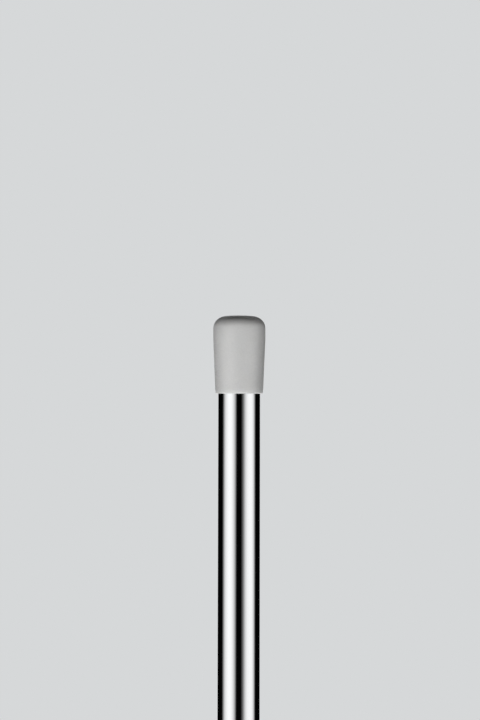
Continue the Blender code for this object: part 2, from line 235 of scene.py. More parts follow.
def coat(tree, surface, tint, gloss, relief):
    """Leads a finish's colour, roughness and relief into its shader."""
    tree.links.new(tint.outputs[2], surface.inputs["Base Color"])
    tree.links.new(gloss.outputs["Result"], surface.inputs["Roughness"])
    tree.links.new(relief.outputs["Normal"], surface.inputs["Normal"])


def moulded_nylon(name, colour, grain, roughness):
    """Injection-moulded polyamide: a dense, faintly cloudy plastic with a soft sheen from a satin mould."""
    finish, tree, surface, place = new_finish(
        name,
        IOR=1.53,
        Subsurface_Weight=0.12,
        Subsurface_Scale=0.6 * MM,
        Subsurface_Radius=(1.0, 0.95, 0.85),
    )
    # Cloudiness a few millimetres across, from the way the melt fills the mould.
    cloud = add_node(
        tree, "TexNoise", {"Scale": 1 / (5 * MM), "Detail": 2.0, "Roughness": 0.5}, {"Vector": place}
    )
    tint = add_node(
        tree,
        "Mix",
        {6: shaded(colour, 0.965), 7: shaded(colour, 1.03)},
        {0: cloud.outputs["Fac"]},
        data_type="RGBA",
    )
    # The mould's fine grain, which breaks up the gloss.
    fine = add_node(
        tree, "TexNoise", {"Scale": 1 / grain, "Detail": 3.0, "Roughness": 0.6}, {"Vector": place}
    )
    gloss = add_node(
        tree,
        "MapRange",
        {"From Min": 0.3, "From Max": 0.7, "To Min": roughness - 0.04, "To Max": roughness + 0.05},
        {"Value": fine.outputs["Fac"]},
    )
    relief = add_node(
        tree, "Bump", {"Strength": 0.25, "Distance": 0.012 * MM}, {"Height": fine.outputs["Fac"]}
    )
    coat(tree, surface, tint, gloss, relief)
    return finish


def polished_aluminium(name, colour, roughness):
    """Drawn aluminium tube, mechanically polished: nearly a mirror, with faint draw lines along it."""
    finish, tree, surface, place = new_finish(name, Metallic=1.0)
    # Draw lines run centimetres along the tube. These are 0.25 mm wide, coarser than real ones, to show.
    stretched = add_node(
        tree, "Mapping", {"Scale": (1 / (0.25 * MM), 1 / (0.25 * MM), 1 / (45 * MM))}, {"Vector": place}
    )
    lines = add_node(
        tree,
        "TexNoise",
        {"Scale": 1.0, "Detail": 2.0, "Roughness": 0.55},
        {"Vector": stretched.outputs["Vector"]},
    )
    handled = add_node(
        tree, "TexNoise", {"Scale": 1 / (14 * MM), "Detail": 3.0, "Roughness": 0.5}, {"Vector": place}
    )
    tint = add_node(
        tree,
        "Mix",
        {6: shaded(colour, 0.97), 7: shaded(colour, 1.02)},
        {0: lines.outputs["Fac"]},
        data_type="RGBA",
    )
    # Handling leaves slightly duller patches.
    gloss = add_node(
        tree,
        "MapRange",
        {"From Min": 0.3, "From Max": 0.75, "To Min": roughness, "To Max": roughness + 0.05},
        {"Value": handled.outputs["Fac"]},
    )
    relief = add_node(
        tree, "Bump", {"Strength": 0.08, "Distance": 0.002 * MM}, {"Height": lines.outputs["Fac"]}
    )
    coat(tree, surface, tint, gloss, relief)
    return finish


def baked_enamel(name, colour, roughness):
    """White polyester powder coat on aluminium: a satin gloss with orange peel and faint sliding marks."""
    finish, tree, surface, place = new_finish(
        name, IOR=1.5, Coat_Weight=0.25, Coat_Roughness=0.12, Coat_IOR=1.5
    )
    # Orange peel is about a millimetre across.
    peel = add_node(
        tree, "TexNoise", {"Scale": 1 / (1.3 * MM), "Detail": 1.0, "Roughness": 0.4}, {"Vector": place}
    )
    relief = add_node(
        tree, "Bump", {"Strength": 0.6, "Distance": 0.05 * MM}, {"Height": peel.outputs["Fac"]}
    )
    # The collar of the next section rubs thin grey streaks into the paint, centimetres long.
    stretched = add_node(
        tree, "Mapping", {"Scale": (1 / (0.35 * MM), 1 / (0.35 * MM), 1 / (70 * MM))}, {"Vector": place}
    )
    streaks = add_node(
        tree,
        "TexNoise",
        {"Scale": 1.0, "Detail": 2.0, "Roughness": 0.5},
        {"Vector": stretched.outputs["Vector"]},
    )
    worn = add_node(
        tree,
        "MapRange",
        {"From Min": 0.5, "From Max": 0.85, "To Min": 0.0, "To Max": 0.6},
        {"Value": streaks.outputs["Fac"]},
        interpolation_type="SMOOTHSTEP",
    )
    # Hardly visible patches of a whiter and a duller white, centimetres across.
    patches = add_node(
        tree, "TexNoise", {"Scale": 1 / (30 * MM), "Detail": 3.0, "Roughness": 0.5}, {"Vector": place}
    )
    paint = add_node(
        tree,
        "Mix",
        {6: shaded(colour, 0.975), 7: shaded(colour, 1.015)},
        {0: patches.outputs["Fac"]},
        data_type="RGBA",
    )
    tint = add_node(
        tree,
        "Mix",
        {7: shaded(colour, 0.8)},
        {0: worn.outputs["Result"], 6: paint.outputs[2]},
        data_type="RGBA",
    )
    # The same streaks are duller than the paint round them.
    gloss = add_node(
        tree,
        "MapRange",
        {"To Min": roughness, "To Max": roughness + 0.16},
        {"Value": worn.outputs["Result"]},
    )
    coat(tree, surface, tint, gloss, relief)
    return finish


def moulded_rubber(name, colour):
    """Moulded rubber: deep black and matt, finely pebbled, with patches of pale dust."""
    finish, tree, surface, place = new_finish(name, IOR=1.5, Specular_IOR_Level=0.4)
    pebbles = add_node(
        tree,
        "TexVoronoi",
        {"Scale": 1 / (0.7 * MM), "Randomness": 0.9},
        {"Vector": place},
        feature="SMOOTH_F1",
    )
    relief = add_node(
        tree,
        "Bump",
        {"Strength": 0.9, "Distance": 0.3 * MM},
        {"Height": pebbles.outputs["Distance"]},
        invert=True,
    )
    # Dust and dry skin lighten the rubber and dull it.
    dust = add_node(
        tree, "TexNoise", {"Scale": 1 / (9 * MM), "Detail": 5.0, "Roughness": 0.62}, {"Vector": place}
    )
    dusty = add_node(
        tree,
        "MapRange",
        {"From Min": 0.42, "From Max": 0.72, "To Min": 0.0, "To Max": 1.0},
        {"Value": dust.outputs["Fac"]},
    )
    tint = add_node(
        tree,
        "Mix",
        {6: colour, 7: shaded(colour, 2.1)},
        {0: dusty.outputs["Result"]},
        data_type="RGBA",
    )
    gloss = add_node(
        tree, "MapRange", {"To Min": 0.56, "To Max": 0.78}, {"Value": dusty.outputs["Result"]}
    )
    coat(tree, surface, tint, gloss, relief)
    return finish


def zinc_plated_steel(name, colour):
    """Steel with bright zinc plating: a cool satin metal, clouded where the plating took unevenly."""
    finish, tree, surface, place = new_finish(name, Metallic=1.0)
    cloud = add_node(
        tree, "TexNoise", {"Scale": 1 / (2.5 * MM), "Detail": 4.0, "Roughness": 0.6}, {"Vector": place}
    )
    tint = add_node(
        tree,
        "Mix",
        {6: shaded(colour, 0.86), 7: shaded(colour, 1.08)},
        {0: cloud.outputs["Fac"]},
        data_type="RGBA",
    )
    gloss = add_node(
        tree,
        "MapRange",
        {"From Min": 0.3, "From Max": 0.7, "To Min": 0.2, "To Max": 0.38},
        {"Value": cloud.outputs["Fac"]},
    )
    fine = add_node(tree, "TexNoise", {"Scale": 1 / (0.25 * MM), "Detail": 2.0}, {"Vector": place})
    relief = add_node(
        tree, "Bump", {"Strength": 0.2, "Distance": 0.01 * MM}, {"Height": fine.outputs["Fac"]}
    )
    coat(tree, surface, tint, gloss, relief)
    return finish


def turned_brass(name, colour):
    """Brass turned on a lathe: warm and bright, with the tool's fine rings round it and light tarnish."""
    finish, tree, surface, place = new_finish(name, Metallic=1.0)
    # The tool leaves a ring every 0.25 mm. A band repeats every 0.314 of the texture's own units.
    rings = add_node(
        tree,
        "TexWave",
        {"Scale": 0.314 / (0.25 * MM), "Distortion": 0.4, "Detail": 1.0},
        {"Vector": place},
        bands_direction="Z",
    )
    relief = add_node(
        tree, "Bump", {"Strength": 0.3, "Distance": 0.008 * MM}, {"Height": rings.outputs["Fac"]}
    )
    tarnish = add_node(
        tree, "TexNoise", {"Scale": 1 / (3 * MM), "Detail": 4.0, "Roughness": 0.6}, {"Vector": place}
    )
    tint = add_node(
        tree,
        "Mix",
        {6: shaded(colour, 0.78), 7: shaded(colour, 1.05)},
        {0: tarnish.outputs["Fac"]},
        data_type="RGBA",
    )
    gloss = add_node(
        tree,
        "MapRange",
        {"From Min": 0.3, "From Max": 0.7, "To Min": 0.34, "To Max": 0.2},
        {"Value": tarnish.outputs["Fac"]},
    )
    coat(tree, surface, tint, gloss, relief)
    return finish


def spark_textured_nylon(name, colour):
    """Glass-filled nylon from a spark-textured mould: near-black, satin, with a fine even grain."""
    finish, tree, surface, place = new_finish(name, IOR=1.53)
    grain = add_node(
        tree, "TexNoise", {"Scale": 1 / (0.28 * MM), "Detail": 3.0, "Roughness": 0.65}, {"Vector": place}
    )
    relief = add_node(
        tree, "Bump", {"Strength": 0.6, "Distance": 0.06 * MM}, {"Height": grain.outputs["Fac"]}
    )
    # Handling buffs some places and leaves others dull.
    rub = add_node(
        tree, "TexNoise", {"Scale": 1 / (7 * MM), "Detail": 4.0, "Roughness": 0.55}, {"Vector": place}
    )
    tint = add_node(
        tree,
        "Mix",
        {6: shaded(colour, 0.85), 7: shaded(colour, 1.5)},
        {0: rub.outputs["Fac"]},
        data_type="RGBA",
    )
    gloss = add_node(
        tree,
        "MapRange",
        {"From Min": 0.3, "From Max": 0.7, "To Min": 0.36, "To Max": 0.52},
        {"Value": rub.outputs["Fac"]},
    )
    coat(tree, surface, tint, gloss, relief)
    return finish


# Settings


def a_size(name, default, description):
    """Arguments of a length that is at least zero."""
    return {
        "name": name,
        "default": default,
        "min": 0.0,
        "precision": 5,
        "unit": "LENGTH",
        "description": description,
    }


def a_strength(name, default, description):
    """Arguments of a light's strength."""
    return {"name": name, "default": default, "min": 0.0, "precision": 3, "description": description}


def a_colour(name, hex_colour, description):
    """Arguments of a colour, given as sRGB hex."""
    return {
        "name": name,
        "default": linear(hex_colour),
        "size": 4,
        "min": 0.0,
        "max": 1.0,
        "subtype": "COLOR",
        "description": description,
    }


class CaneTipSettings(bpy.types.PropertyGroup):
    """Slip-on tip."""

    corner: FloatProperty(**a_size("Corner", 3.6 * MM, "Radius of the rounded closed end"))
    crown: FloatProperty(**a_size("Crown", 0.2 * MM, "Rise of the end's middle over its corner"))
    end_flat: FloatProperty(**a_size("End Flat", 2.5 * MM, "Radius of the flat at the middle of the end"))
    gate: FloatProperty(**a_size("Gate", 0.9 * MM, "Radius of the moulding gate's mark on the end"))
    gate_depth: FloatProperty(**a_size("Gate Depth", 0.15 * MM, "Depth of the gate's mark"))
    widest: FloatProperty(**a_size("Widest", 16.3 * MM, "Height over the mouth where the taper begins"))
    shoulder: FloatProperty(**a_size("Shoulder", 5.0 * MM, "Radius that eases the side into the taper"))
    taper_wall: FloatProperty(**a_size("Taper Wall", 0.9 * MM, "Wall over the tube at the taper's lower end"))
    rim: FloatProperty(**a_size("Rim", 1.0 * MM, "Height of the thin rim at the mouth"))
    rim_wall: FloatProperty(**a_size("Rim Wall", 0.7 * MM, "Wall over the tube at the mouth"))
    fit: FloatProperty(**a_size("Fit", 0.1 * MM, "Radial gap between the tip and the tube"))
    bore: FloatProperty(**a_size("Bore Depth", 19.0 * MM, "Depth that the tube goes in"))
    nylon: FloatVectorProperty(**a_colour("Nylon", "#EEEEED", "Pale moulded nylon"))


class CaneTubeSettings(bpy.types.PropertyGroup):
    """Tubes and the collars on their mouths."""

    steps: IntProperty(name="Steps", default=144, min=24, description="Facets round a tube")
    paint: FloatVectorProperty(**a_colour("Paint", "#E6E6E4", "White paint of the outer sections"))
    metal: FloatVectorProperty(**a_colour("Metal", "#F1F2F3", "Polished aluminium of the tip section"))
    flutes: IntProperty(name="Flutes", default=24, min=0, description="Hollows round a collar")
    flute_depth: FloatProperty(**a_size("Flute Depth", 0.35 * MM, "Depth of a collar's flutes"))
    collar: FloatVectorProperty(**a_colour("Collar", "#1D1E20", "Black nylon of the collars"))


class CaneGripSettings(bpy.types.PropertyGroup):
    """Grip, its end ring and the butt cap."""

    grooves: IntProperty(name="Grooves", default=8, min=0, description="Grooves round the grip")
    pitch: FloatProperty(**a_size("Pitch", 20 * MM, "From one groove to the next"))
    groove_width: FloatProperty(**a_size("Groove Width", 3 * MM, "Width of a groove"))
    groove_depth: FloatProperty(**a_size("Groove Depth", 0.7 * MM, "Depth of a groove"))
    wall_at_butt: FloatProperty(**a_size("Wall at Butt", 3.7 * MM, "Rubber over the tube at the butt"))
    wall_at_top: FloatProperty(**a_size("Wall at Top", 2.1 * MM, "Rubber over the tube at the upper end"))
    flat_wall: FloatProperty(**a_size("Wall at Flat", 1.3 * MM, "Rubber over the tube under the flat"))
    pebble: FloatProperty(**a_size("Pebble", 0.035 * MM, "Depth of the moulded pebbles"))
    rubber: FloatVectorProperty(**a_colour("Rubber", "#1A1A1B", "Black moulded rubber"))
    ends: FloatVectorProperty(**a_colour("Ends", "#1D1E20", "Black nylon of the ring and the butt cap"))


class CaneFittingSettings(bpy.types.PropertyGroup):
    """Strap eye and the metal and nylon inside the tubes."""

    eye_opening: FloatProperty(**a_size("Eye Opening", 4.5 * MM, "Radius of the strap eye's opening"))
    eye_wire: FloatProperty(**a_size("Eye Wire", 1.3 * MM, "Radius of the strap eye's round bar"))
    eye_voxel: FloatProperty(**a_size("Eye Voxel", 0.16 * MM, "Grain of the forged blend at the eye's neck"))
    steel: FloatVectorProperty(**a_colour("Steel", "#C9CDD0", "Zinc-plated steel"))
    brass: FloatVectorProperty(**a_colour("Brass", "#D9B872", "Turned brass"))
    nylon: FloatVectorProperty(**a_colour("Grey Nylon", "#8C8E91", "Grey nylon of the plugs"))
    expander: FloatVectorProperty(**a_colour("Expander", "#1D1E20", "Black nylon of the expanders"))


class CaneStageSettings(bpy.types.PropertyGroup):
    """Floor, lights and camera."""

    distance: FloatProperty(**a_size("Distance", 0.364, "From the camera to the cane's axis"))
    height: FloatProperty(**a_size("Height", 1.0113, "Height of the camera in the cane's frame"))
    aside: FloatProperty(**a_size("Aside", 0.22 * MM, "Camera's offset to the right of the axis"))
    pitch: FloatProperty(
        name="Pitch", default=math.radians(2), unit="ROTATION", description="Upward tilt of the camera"
    )
    roll: FloatProperty(
        name="Roll", default=math.radians(0.12), unit="ROTATION", description="Roll of the camera"
    )
    lens: FloatProperty(name="Lens", default=60.0, min=10.0, description="Focal length in millimetres")
    ring: FloatProperty(**a_size("Light Ring", 1.1, "Distance of the soft boxes from the axis"))
    left_box: FloatProperty(**a_strength("Left Box", 1.1, "Soft box on the left, seen in reflections"))
    right_box: FloatProperty(**a_strength("Right Box", 1.06, "Soft box on the right, seen in reflections"))
    rear_box: FloatProperty(**a_strength("Rear Box", 0.9, "Soft box behind, seen in reflections"))
    round_light: FloatProperty(**a_strength("Round Light", 3.35, "Light on the matt surfaces from all round"))
    bounce: FloatProperty(**a_strength("Floor Bounce", 1.8, "Light on the matt surfaces from the floor"))
    top_light: FloatProperty(**a_strength("Top Light", 0.05, "Light on the matt surfaces from above"))
    rear_light: FloatProperty(**a_strength("Rear Light", 4.2, "Light on the tip's end from high behind"))
    pale: FloatVectorProperty(**a_colour("Pale", "#D6D8D9", "Floor and background"))
    # The pool of light on the floor is painted: the floor's matt colour fades out away from the foot.
    pool: FloatProperty(**a_size("Pool", 0.47, "Radius of the light that shows on the floor"))
    painted_pool_share: FloatProperty(
        name="Pool Share", default=0.14, min=0.0, description="How much light the floor shows at the foot"
    )


# Pieces


class CANE_OT_nylon_tip(bpy.types.Operator):
    """Turns the slip-on tip: widest near its closed end and narrowing to a thin rim"""

    bl_idname = "cane.nylon_tip"
    bl_label = "Nylon Tip"

    def execute(self, context):
        tip = context.scene.cane_tip
        radius, mouth, end = outside("tip_cap")
        tube = outside("tip_tube")[0]
        bore = tube + tip.fit
        corner_top = end - tip.crown
        corners = [
            (0.0, end - tip.gate_depth, 0),
            (tip.gate, end - tip.gate_depth, 0.05 * MM),
            (tip.gate + 0.1 * MM, end, 0.05 * MM),
            (tip.end_flat, end, 1.0 * MM),
            (radius, corner_top, tip.corner),
            (radius, mouth + tip.widest, tip.shoulder),
            (tube + tip.taper_wall, mouth + tip.rim, 0.3 * MM),
            (tube + tip.rim_wall, mouth, 0.15 * MM),
            (bore, mouth, 0.1 * MM),
            (bore, mouth + tip.bore, 0.3 * MM),
            (0.0, mouth + tip.bore, 0),
        ]
        nylon = moulded_nylon("Pale moulded nylon", tip.nylon, grain=0.3 * MM, roughness=0.27)
        points = divided(rounded(corners, closed=False), spacing=0.8 * MM)
        mesh = turn("nylon_tip", points, TIP_STEPS, closed=False)
        show("nylon_tip", mesh, nylon, "tip_cap")
        return {"FINISHED"}


class CANE_OT_tubes(bpy.types.Operator):
    """Draws the four tubes: three painted white and the polished one at the tip"""

    bl_idname = "cane.tubes"
    bl_label = "Tubes"

    def execute(self, context):
        tubes = context.scene.cane_tubes
        enamel = baked_enamel("White powder coat", tubes.paint, roughness=0.3)
        polished = polished_aluminium("Polished drawn aluminium", tubes.metal, roughness=0.05)
        for name, node in SHAFT.items():
            radius, bottom, top = outside(node)
            bore = radius - TUBE_WALL
            corners = [
                (radius, bottom, TUBE_EDGE),
                (radius, top, TUBE_EDGE),
                (bore, top, TUBE_EDGE),
                (bore, bottom, TUBE_EDGE),
            ]
            mesh = turn(name, rounded(corners, closed=True), tubes.steps)
            if node == "tip_tube":
                show(name, mesh, polished, node)
            else:
                show(name, mesh, enamel, node)
        return {"FINISHED"}


class CANE_OT_collars(bpy.types.Operator):
    """Moulds the fluted collars that guide each tube out of the one before it"""

    bl_idname = "cane.collars"
    bl_label = "Collars"

    def execute(self, context):
        tubes = context.scene.cane_tubes
        nylon = spark_textured_nylon("Black collar nylon", tubes.collar)
        nodes = list(SHAFT.values())
        for number, (outer, inner) in enumerate(zip(nodes, nodes[1:]), start=1):
            node = f"mouth_collar_{number}"
            radius, bottom, top = outside(node)
            over_tube = outside(outer)[0] + 0.1 * MM
            guide = outside(inner)[0] + 0.12 * MM
            seat = outside(outer)[2] + 0.1 * MM
            corners = [
                (radius, bottom, 0.45 * MM),
                (radius, top, 0.8 * MM),
                (guide, top, 0.35 * MM),
                (guide, seat, 0.0),
                (over_tube, seat, 0.0),
                (over_tube, bottom, 0.1 * MM),
            ]
            skin = radius - 0.05 * MM
            low = bottom + 2.2 * MM
            high = top - 3.4 * MM
            fade = 1.2 * MM

            def fluted(angle, reach, height):
                if reach < skin or not low < height < high:
                    return reach
                run_out = min(1.0, (height - low) / fade, (high - height) / fade)
                hollow = (0.5 - 0.5 * math.cos(tubes.flutes * angle)) ** 2
                return reach - tubes.flute_depth * hollow * math.sin(run_out * math.pi / 2)

            points = divided(rounded(corners, closed=True), spacing=0.4 * MM)
            mesh = turn(node, points, COLLAR_STEPS, reshape=fluted)
            show(f"fluted_collar_{number}", mesh, nylon, node)
        return {"FINISHED"}


class CANE_OT_grip(bpy.types.Operator):
    """Moulds the rubber grip, with its grooves, flat and pebbled skin, and the ring on its upper end"""

    bl_idname = "cane.grip"
    bl_label = "Grip"

    def execute(self, context):
        grip = context.scene.cane_grip
        tube = outside("handle_tube")[0] + 0.1 * MM
        bottom, top = (corner.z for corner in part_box("grip_sleeve"))
        length = top - bottom
        flat = tube + grip.flat_wall
        near_bore = tube + 0.6 * MM
        ease = 0.35 * MM
        pebble_size = 0.9 * MM

        def skin(height):
            share = (height - bottom) / length
            return tube + grip.wall_at_butt + (grip.wall_at_top - grip.wall_at_butt) * share

        grooves = [
            (bottom + top) / 2 + (i - (grip.grooves - 1) / 2) * grip.pitch for i in range(grip.grooves)
        ]
        half = grip.groove_width / 2
        corners = [(tube, bottom, 0.1 * MM), (skin(bottom), bottom, 0.3 * MM)]
        for middle in grooves:
            corners += [
                (skin(middle - half), middle - half, 0.5 * MM),
                (skin(middle) - grip.groove_depth, middle, 0.6 * MM),
                (skin(middle + half), middle + half, 0.5 * MM),
            ]
        corners += [(skin(top), top, 1.2 * MM), (tube, top, 0.1 * MM)]

        def moulded(angle, reach, height):
            if reach < near_bore:
                return reach
            across = math.cos(angle)
            if across > 0.2:
                # The flat meets the round of the grip in an eased edge.
                limit = flat / across
                over = (reach - limit) / ease
                if over > 30:
                    reach = limit
                elif over > -4:
                    reach -= ease * math.log1p(math.exp(over))
            spot = Vector((reach * math.cos(angle), reach * math.sin(angle), height)) / pebble_size
            return reach - grip.pebble * (0.5 + 0.5 * noise.noise(spot))

        rubber = moulded_rubber("Black moulded rubber", grip.rubber)
        points = divided(rounded(corners, closed=True), spacing=0.6 * MM)
        mesh = turn("rubber_grip", points, GRIP_STEPS, reshape=moulded)
        show("rubber_grip", mesh, rubber, "grip_sleeve")

        nylon = spark_textured_nylon("Black end nylon", grip.ends)
        radius, low, high = outside("grip_ring")
        ring = [
            (tube, low, 0.1 * MM),
            (radius, low, 0.4 * MM),
            (radius, high, 1.1 * MM),
            (tube, high, 0.15 * MM),
        ]
        mesh = turn("grip_end_ring", rounded(ring, closed=True), GRIP_STEPS)
        show("grip_end_ring", mesh, nylon, "grip_ring")
        return {"FINISHED"}


class CANE_OT_butt_cap(bpy.types.Operator):
    """Moulds the butt cap: a rounded flange under the grip and a spigot up the tube"""

    bl_idname = "cane.butt_cap"
    bl_label = "Butt Cap"

    def execute(self, context):
        grip = context.scene.cane_grip
        nylon = spark_textured_nylon("Black butt nylon", grip.ends)
        radius, low, high = outside("butt_cap")
        bore = outside("handle_tube")[0] - TUBE_WALL - 0.1 * MM
        top = outside("grip_sleeve")[1] - 0.1 * MM
        hole = 2.1 * MM
        groove_floor = low + 0.25 * MM
        corners = [
            (hole, low, 0.1 * MM),
            (5.6 * MM, low, 0.15 * MM),
            (5.9 * MM, groove_floor, 0.15 * MM),
            (7.3 * MM, groove_floor, 0.15 * MM),
            (7.6 * MM, low, 0.15 * MM),
            (radius, low, 2.0 * MM),
            (radius, top, 0.35 * MM),
            (bore, top, 0.0),
            (bore, high, 0.4 * MM),
            (hole, high, 0.1 * MM),
        ]
        mesh = turn("butt_end_cap", rounded(corners, closed=True), GRIP_STEPS)
        show("butt_end_cap", mesh, nylon, "butt_cap")
        return {"FINISHED"}


class CANE_OT_strap_eye(bpy.types.Operator):
    """Forges the strap eye: a ring that runs into its shoulder, on a plain shank"""

    bl_idname = "cane.strap_eye"
    bl_label = "Strap Eye"

    def execute(self, context):
        fittings = context.scene.cane_fittings
        steel = zinc_plated_steel("Zinc-plated eye steel", fittings.steel)
        low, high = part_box("strap_eye")
        ring = fittings.eye_opening + fittings.eye_wire
        middle = low.z + ring + fittings.eye_wire
        under = middle + ring + fittings.eye_wire
        shoulder = outside("butt_cap")[1]
        sunk = under - 1.3 * MM
        shoulder_radius = 3.5 * MM
        shank_radius = 2.0 * MM
        shank_start = shoulder - 0.4 * MM
        bpy.ops.mesh.primitive_torus_add(
            major_radius=ring,
            minor_radius=fittings.eye_wire,
            major_segments=EYE_STEPS,
            minor_segments=32,
            location=(0, 0, middle),
            rotation=(math.pi / 2, 0, 0),
        )
        eye = context.object
        eye.data.transform(eye.matrix_world)
        eye.matrix_world = Matrix.Identity(4)
        boss = [
            (0.0, sunk, 0),
            (1.9 * MM, sunk, 0.2 * MM),
            (1.7 * MM, under, 0.3 * MM),
            (shoulder_radius, under, 0.25 * MM),
            (shoulder_radius, shoulder, 0.2 * MM),
            (0.0, shoulder, 0),
        ]
        blank = turn("eye_boss", rounded(boss, closed=False), EYE_STEPS, closed=False)
        welded = bmesh.new()
        welded.from_mesh(eye.data)
        welded.from_mesh(blank)
        welded.to_mesh(eye.data)
        welded.free()
        remesh = eye.modifiers.new("forge", "REMESH")
        remesh.mode = "VOXEL"
        remesh.voxel_size = fittings.eye_voxel
        soften = eye.modifiers.new("soften", "SMOOTH")
        soften.factor = 0.5
        soften.iterations = 5
        graph = context.evaluated_depsgraph_get()
        forged = bpy.data.meshes.new_from_object(eye.evaluated_get(graph))
        bpy.data.objects.remove(eye)
        bpy.data.meshes.remove(blank)
        shank = [
            (0.0, shank_start, 0),
            (shank_radius, shank_start, 0),
            (shank_radius, high.z, 0.3 * MM),
            (0.0, high.z, 0),
        ]
        bar = turn("eye_shank", rounded(shank, closed=False), 64, closed=False)
        whole = bmesh.new()
        whole.from_mesh(forged)
        whole.from_mesh(bar)
        whole.to_mesh(forged)
        whole.free()
        bpy.data.meshes.remove(bar)
        smooth(forged)
        show("steel_strap_eye", forged, steel, "strap_eye")
        return {"FINISHED"}


class CANE_OT_fittings(bpy.types.Operator):
    """Finishes the pieces inside the tubes, whose shapes are as packed"""

    bl_idname = "cane.fittings"
    bl_label = "Inner Fittings"

    def execute(self, context):
        fittings = context.scene.cane_fittings
        steel = zinc_plated_steel("Zinc-plated fastener steel", fittings.steel)
        brass = turned_brass("Turned brass", fittings.brass)
        grey = moulded_nylon("Grey moulded nylon", fittings.nylon, grain=0.35 * MM, roughness=0.42)
        black = spark_textured_nylon("Black expander nylon", fittings.expander)
        finish_of = {
            "stud": steel,
            "stop_nut": steel,
            "washer": steel,
            "eye_nut": steel,
            "cone_nut": brass,
            "plug": grey,
            "insert": grey,
            "expander": black,
        }
        for node, piece in frame["nodes"].items():
            if piece.hide_render:
                continue
            matches = [finish for ending, finish in finish_of.items() if node.endswith(ending)]
            if len(matches) != 1:
                raise RuntimeError(f"no single finish for {node}")
            for slot in piece.material_slots:
                slot.material = matches[0]
        return {"FINISHED"}


# Stage


def upright(radius):
    """Places a sheet on a cylinder round the cane, by angle and height."""
    return lambda angle, height: (radius * math.sin(angle), -radius * math.cos(angle), height)


def lying(height):
    """Places a sheet flat, by angle and distance from the cane."""
    return lambda angle, reach: (reach * math.sin(angle), -reach * math.cos(angle), height)


def stage_sheet(name, place, across, along, glow, unseen, upward=False):
    """A studio sheet of light, or a dark flag where glow is None, that the camera doesn't see.

    Across is its span in degrees from the camera's side, positive to the right, and along its span in metres.
    Unseen lists the rays that pass it by. Upward light leaves a lying sheet by its upper face alone.
    """
    columns = max(2, round((across[1] - across[0]) / 1.5))
    rows = 24
    shape = bmesh.new()
    grid = []
    levels = []
    for j in range(rows + 1):
        reach = along[0] + (along[1] - along[0]) * j / rows
        line = []
        for i in range(columns + 1):
            degrees = across[0] + (across[1] - across[0]) * i / columns
            line.append(shape.verts.new(place(math.radians(degrees), reach)))
            levels.append(glow(degrees, reach) if glow else 0.0)
        grid.append(line)
    for low, high in zip(grid, grid[1:]):
        for i in range(columns):
            shape.faces.new((low[i], low[i + 1], high[i + 1], high[i]))
    mesh = bpy.data.meshes.new(name)
    shape.to_mesh(mesh)
    shape.free()
    mesh.attributes.new("glow", "FLOAT", "POINT").data.foreach_set("value", levels)
    mesh.materials.append(sheet_finish(name + " cloth", glow is not None, upward))
    sheet = bpy.data.objects.new(name, mesh)
    bpy.context.scene.collection.objects.link(sheet)
    for kind in ("camera", "shadow", "transmission", *unseen):
        setattr(sheet, "visible_" + kind, False)
    sheet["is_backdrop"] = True


def sheet_finish(name, lit, upward):
    """White diffusion cloth lit from behind, or black felt that gives back almost no light."""
    cloth = bpy.data.materials.new(name)
    cloth.use_nodes = True
    tree = cloth.node_tree
    tree.nodes.clear()
    if lit:
        level = add_node(tree, "Attribute", attribute_name="glow").outputs["Fac"]
        if upward:
            upper = add_node(tree, "NewGeometry").outputs["Backfacing"]
            one_sided = add_node(tree, "Math", links={0: level, 1: upper}, operation="MULTIPLY")
            level = one_sided.outputs["Value"]
        light = add_node(tree, "Emission", {"Color": linear("#FFFFFF")}, {"Strength": level})
        add_node(tree, "OutputMaterial", links={"Surface": light.outputs["Emission"]})
    else:
        felt = add_node(tree, "BsdfDiffuse", {"Color": linear("#050505")})
        add_node(tree, "OutputMaterial", links={"Surface": felt.outputs["BSDF"]})
    return cloth


def between(stops, at):
    """A value read off a list of (position, value) stops."""
    if at <= stops[0][0]:
        return stops[0][1]
    for (a, low), (b, high) in zip(stops, stops[1:]):
        if at <= b:
            return low + (high - low) * (at - a) / (b - a)
    return stops[-1][1]


def pale_world(colour):
    """A pale surround for the camera and for reflections, which adds no light of its own."""
    world = bpy.data.worlds.new("Pale surround")
    world.use_nodes = True
    tree = world.node_tree
    tree.nodes.clear()
    rays = add_node(tree, "LightPath")
    seen = add_node(
        tree,
        "Math",
        links={0: rays.outputs["Is Camera Ray"], 1: rays.outputs["Is Glossy Ray"]},
        operation="MAXIMUM",
    )
    shown = add_node(
        tree,
        "Math",
        links={0: seen.outputs["Value"], 1: rays.outputs["Is Transmission Ray"]},
        operation="MAXIMUM",
    )
    back = add_node(tree, "Background", {"Color": colour}, {"Strength": shown.outputs["Value"]})
    add_node(tree, "OutputWorld", links={"Surface": back.outputs["Background"]})
    bpy.context.scene.world = world


